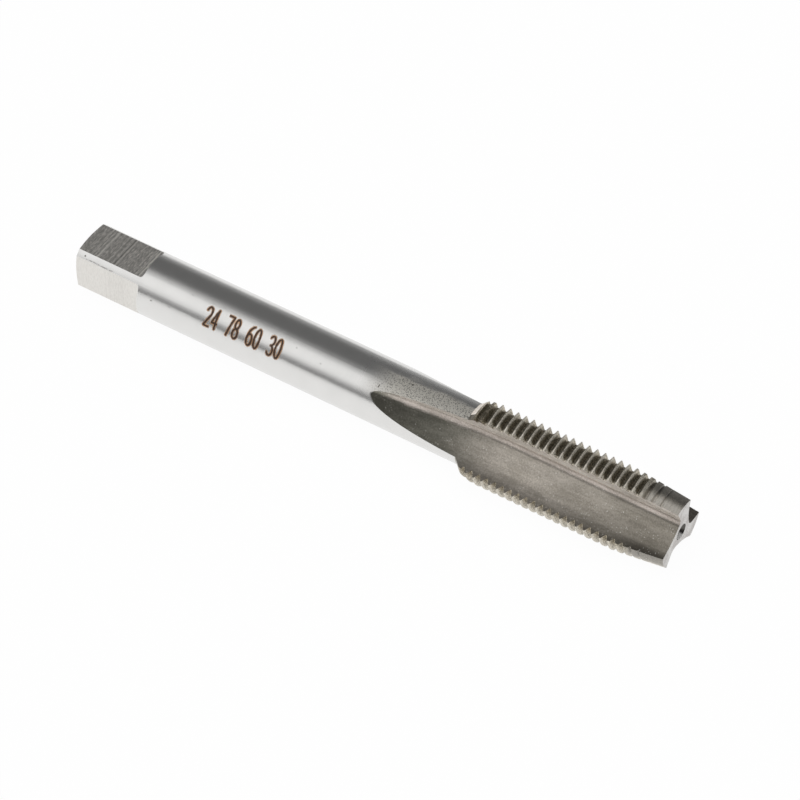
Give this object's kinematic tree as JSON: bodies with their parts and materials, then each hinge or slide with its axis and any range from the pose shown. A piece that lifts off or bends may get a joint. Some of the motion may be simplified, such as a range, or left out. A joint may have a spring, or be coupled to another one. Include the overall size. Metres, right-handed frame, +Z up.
{
  "type": "thread tap",
  "caption": "Straight-fluted hand tap for cutting an internal screw thread, with a plain round shank and a square drive end.",
  "frame": {"origin": "on the tap's axis, at the middle of the square end's face", "axes": "+X along the axis towards the cutting end; +Z up as the tap lies, along the middle of one land and out of one drive flat; +Y completes the frame"},
  "size_m": [0.078, 0.0098, 0.0089],
  "materials": {
    "tool_steel": "ground high-speed steel, bright on the shank and the square, darker and browner in the flutes and thread grooves"
  },
  "bodies": {
    "root": {"thread_tap": "tool_steel"}
  },
  "joints": []
}
